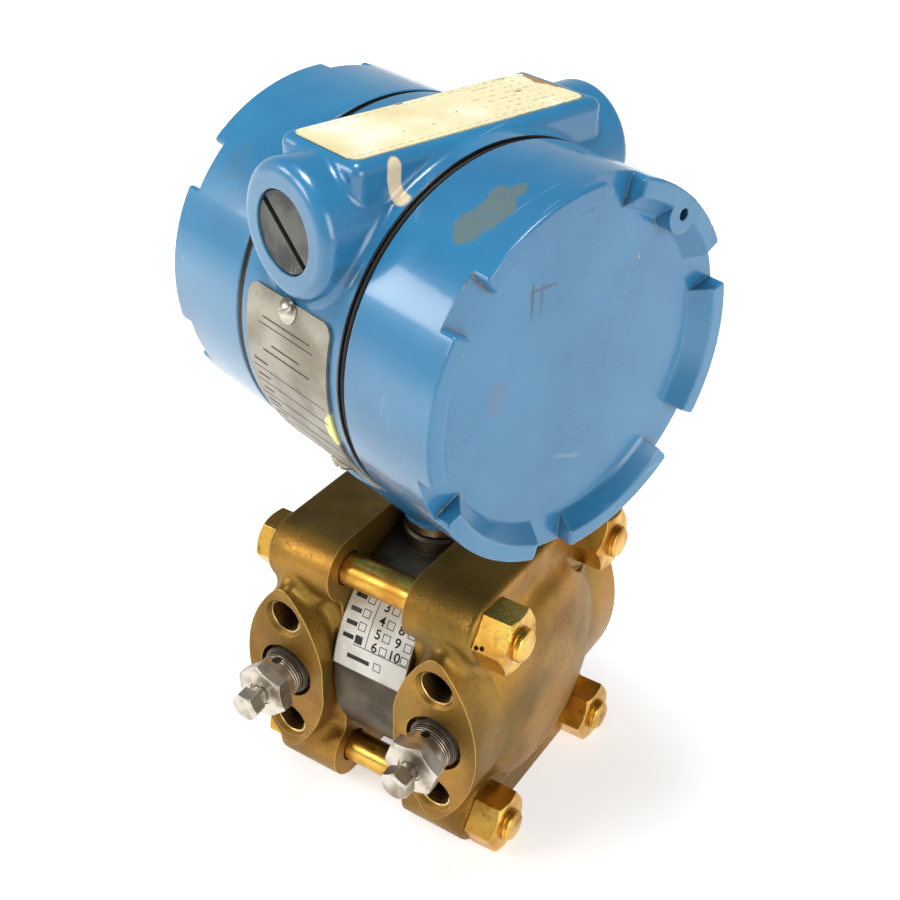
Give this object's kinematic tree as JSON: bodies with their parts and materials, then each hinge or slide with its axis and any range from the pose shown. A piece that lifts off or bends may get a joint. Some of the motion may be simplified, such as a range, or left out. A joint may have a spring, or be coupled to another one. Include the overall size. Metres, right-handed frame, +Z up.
{
  "type": "differential pressure transmitter",
  "caption": "Differential pressure transmitter: two-compartment electronics housing swivelling on a sensor module clamped between process flanges with vent valves",
  "frame": {"origin": "on the standing plane under the two process flanges, straight below the crossing of the sensor module's axis and the neck's axis", "axes": "+Z up along the neck, +X along the sensor module to the high pressure side, -Y to the front with the vent valves"},
  "size_m": [0.1336, 0.1284, 0.2154],
  "materials": {
    "module_steel": "ground, faintly brown",
    "stainless": "turned",
    "diaphragm_steel": "bright foil",
    "flange_plating": "cast, gold-brown chromate",
    "bolt_plating": "gold chromate",
    "blue_paint": "semi-gloss",
    "black_rubber": "smooth",
    "plug_steel": "dull grey",
    "plate_steel": "satin",
    "module_paper": "white label",
    "deck_paper": "pale yellow label",
    "board_laminate": "green",
    "header_ceramic": "pale",
    "cell_ceramic": "pale",
    "fitting_brass": "plated",
    "black_moulding": "moulded",
    "trimmer_blue": "moulded"
  },
  "bodies": {
    "base": {"sensor_module": "module_steel", "high_diaphragm": "diaphragm_steel", "low_diaphragm": "diaphragm_steel", "high_process_seal": "black_rubber", "low_process_seal": "black_rubber", "high_cell_cup": "cell_ceramic", "low_cell_cup": "cell_ceramic", "sensing_diaphragm": "diaphragm_steel", "header_board": "header_ceramic", "neck_lock_ring": "stainless", "module_label": "module_paper", "high_flange": "flange_plating", "low_flange": "flange_plating", "flange_bolts": "bolt_plating", "flange_nuts": "bolt_plating", "high_vent_seat": "stainless", "low_vent_seat": "stainless"},
    "housing": {"electronics_housing": "blue_paint", "conduit_plug": "plug_steel", "nameplate": "plate_steel", "nameplate_screws": "stainless", "deck_label": "deck_paper", "amplifier_board": "board_laminate", "calibration_board": "board_laminate", "circuit_posts": "fitting_brass", "board_screws": "stainless", "zero_potentiometer": "trimmer_blue", "span_potentiometer": "trimmer_blue", "terminal_block": "black_moulding", "terminal_screws": "fitting_brass", "terminal_block_screws": "stainless", "feedthroughs": "fitting_brass"},
    "terminal_seal": {"terminal_cover_seal": "black_rubber"},
    "terminal_lid": {"terminal_cover": "blue_paint"},
    "circuit_seal": {"circuit_cover_seal": "black_rubber"},
    "circuit_lid": {"circuit_cover": "blue_paint"},
    "high_stem": {"high_vent_stem": "stainless"},
    "low_stem": {"low_vent_stem": "stainless"},
    "zero_screw": {"zero_adjuster": "stainless"},
    "span_screw": {"span_adjuster": "stainless"}
  },
  "joints": [
    {"name": "housing_swivel", "type": "hinge", "parent": "base", "child": "housing", "pos_m": [0, 0, 0.1], "axis": [0, 0, 1], "range_deg": [-73.5, 106.5]},
    {"name": "terminal_cover_travel", "type": "slide", "parent": "housing", "child": "terminal_seal", "axis": [0.9588, -0.284, 0], "range_m": [0, 0.01112]},
    {"name": "terminal_cover_turn", "type": "hinge", "parent": "terminal_seal", "child": "terminal_lid", "pos_m": [0.03452, -0.01022, 0.1632], "axis": [0.9588, -0.284, 0], "range_deg": [0, 2520]},
    {"name": "circuit_cover_travel", "type": "slide", "parent": "housing", "child": "circuit_seal", "axis": [-0.9588, 0.284, 0], "range_m": [0, 0.01112]},
    {"name": "circuit_cover_turn", "type": "hinge", "parent": "circuit_seal", "child": "circuit_lid", "pos_m": [-0.03452, 0.01022, 0.1632], "axis": [-0.9588, 0.284, 0], "range_deg": [0, 2520]},
    {"name": "high_vent_turn", "type": "hinge", "parent": "base", "child": "high_stem", "pos_m": [0.027, -0.05, 0.0469], "axis": [0, -1, 0], "range_deg": [0, 270]},
    {"name": "low_vent_turn", "type": "hinge", "parent": "base", "child": "low_stem", "pos_m": [-0.027, -0.05, 0.0469], "axis": [0, -1, 0], "range_deg": [0, 270]},
    {"name": "zero_adjust", "type": "hinge", "parent": "housing", "child": "zero_screw", "pos_m": [-0.02317, -0.04478, 0.15624], "axis": [-0.2813, -0.9495, -0.1392], "continuous": true},
    {"name": "span_adjust", "type": "hinge", "parent": "housing", "child": "span_screw", "pos_m": [-0.02141, -0.03882, 0.1382], "axis": [-0.246, -0.8304, -0.5], "continuous": true}
  ],
  "couplings": [
    {"joint": "terminal_cover_travel", "follows": "terminal_cover_turn", "m_per_rad": 0.00025266},
    {"joint": "circuit_cover_travel", "follows": "circuit_cover_turn", "m_per_rad": 0.00025266}
  ]
}
